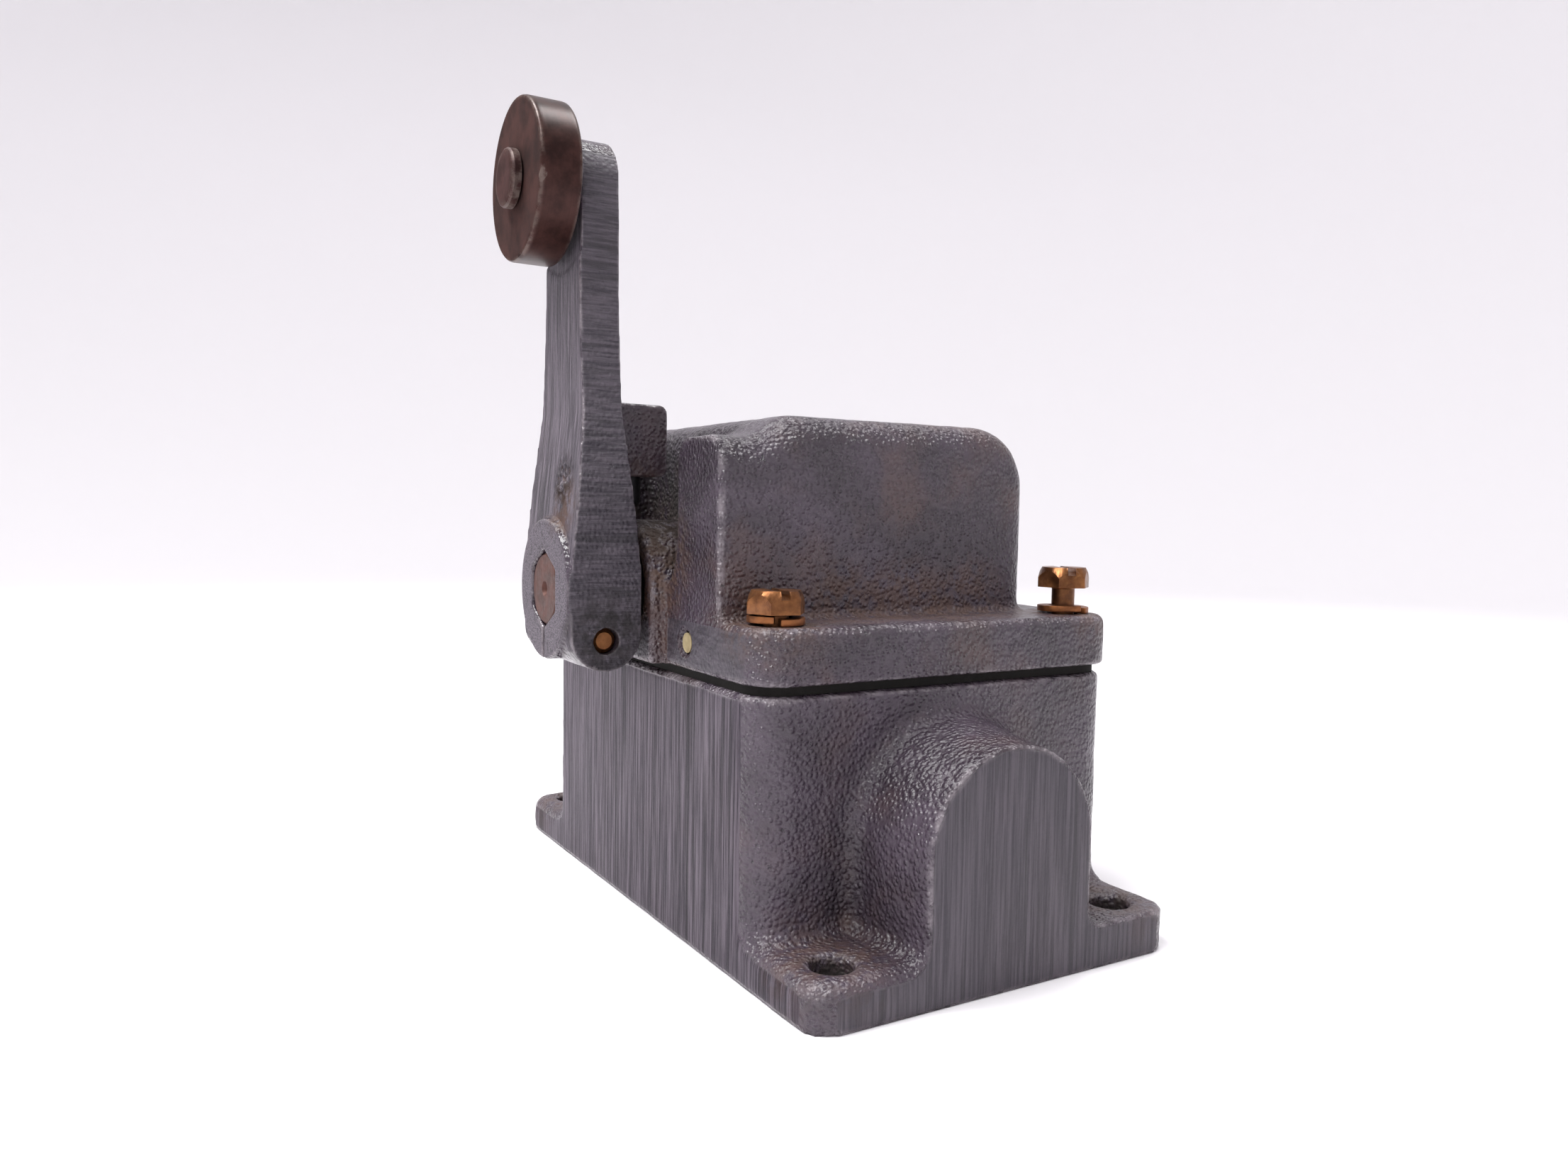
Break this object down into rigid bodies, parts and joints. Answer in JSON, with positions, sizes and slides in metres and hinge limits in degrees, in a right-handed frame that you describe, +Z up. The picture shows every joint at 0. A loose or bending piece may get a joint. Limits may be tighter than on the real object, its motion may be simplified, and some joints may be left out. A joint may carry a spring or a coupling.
{
  "type": "roller lever limit switch",
  "caption": "Cast-iron limit switch: a mounting base with conduit bosses, a domed cover and a roller lever on a sprung hexagon shaft that turns a contact drum inside.",
  "frame": {"origin": "centre of the mounting face, at the middle of the four foot holes", "axes": "+Z up from the mounting face, X along the lever shaft with the lever on the -X side, Y along the base through both conduit bosses"},
  "size_m": [0.0945, 0.117, 0.1339],
  "materials": {
    "grey_paint": "blue-grey machinery enamel on rough cast iron, ground bare at the contact faces",
    "gasket_rubber": "matt black",
    "brass_screw": "dull yellow brass",
    "bronze_washer": "dull bronze",
    "bronze_bush": "turned bronze",
    "spring_steel": "oiled spring steel",
    "phenolic": "black moulded phenolic",
    "plated_steel": "zinc plated",
    "contact_copper": "hard copper",
    "lever_iron": "grey enamel on cast iron with ground faces",
    "black_steel": "blackened",
    "shaft_steel": "browned steel",
    "roller_steel": "oil-hardened dark brown steel"
  },
  "bodies": {
    "housing": {"base_housing": "grey_paint", "cover_gasket": "gasket_rubber", "top_cover": "grey_paint", "cover_screws": "brass_screw", "cover_lock_washers": "bronze_washer", "shaft_bush": "bronze_bush", "end_bush": "bronze_bush", "shaft_seal": "gasket_rubber", "spring_anchor_pins": "brass_screw", "return_spring": "spring_steel", "contact_block": "phenolic", "contact_block_screws": "plated_steel", "contact_fingers": "bronze_washer", "finger_tips": "contact_copper", "terminal_plates": "brass_screw", "terminal_screws": "brass_screw"},
    "lever_and_shaft": {"operating_lever": "lever_iron", "stop_pin": "black_steel", "clamp_screw": "brass_screw", "clamp_lock_washer": "bronze_washer", "operating_shaft": "shaft_steel", "thrust_washer": "bronze_washer", "shaft_retaining_ring": "spring_steel", "spring_driver": "plated_steel", "driver_pin": "plated_steel", "contact_drum": "phenolic", "drum_segments": "contact_copper", "drum_pin": "plated_steel", "roller_pin": "roller_steel", "roller_washer": "plated_steel"},
    "roller": {"lever_roller": "roller_steel"}
  },
  "joints": [
    {"name": "lever_swing", "type": "hinge", "parent": "housing", "child": "lever_and_shaft", "pos_m": [0, 0, 0.0562], "axis": [1, 0, 0], "range_deg": [-25, 25], "stiffness_Nm_per_rad": 1.5, "deforming": ["return_spring"]},
    {"name": "roller_spin", "type": "hinge", "parent": "lever_and_shaft", "child": "roller", "pos_m": [-0.05255, 0, 0.1212], "axis": [1, 0, 0], "continuous": true}
  ]
}
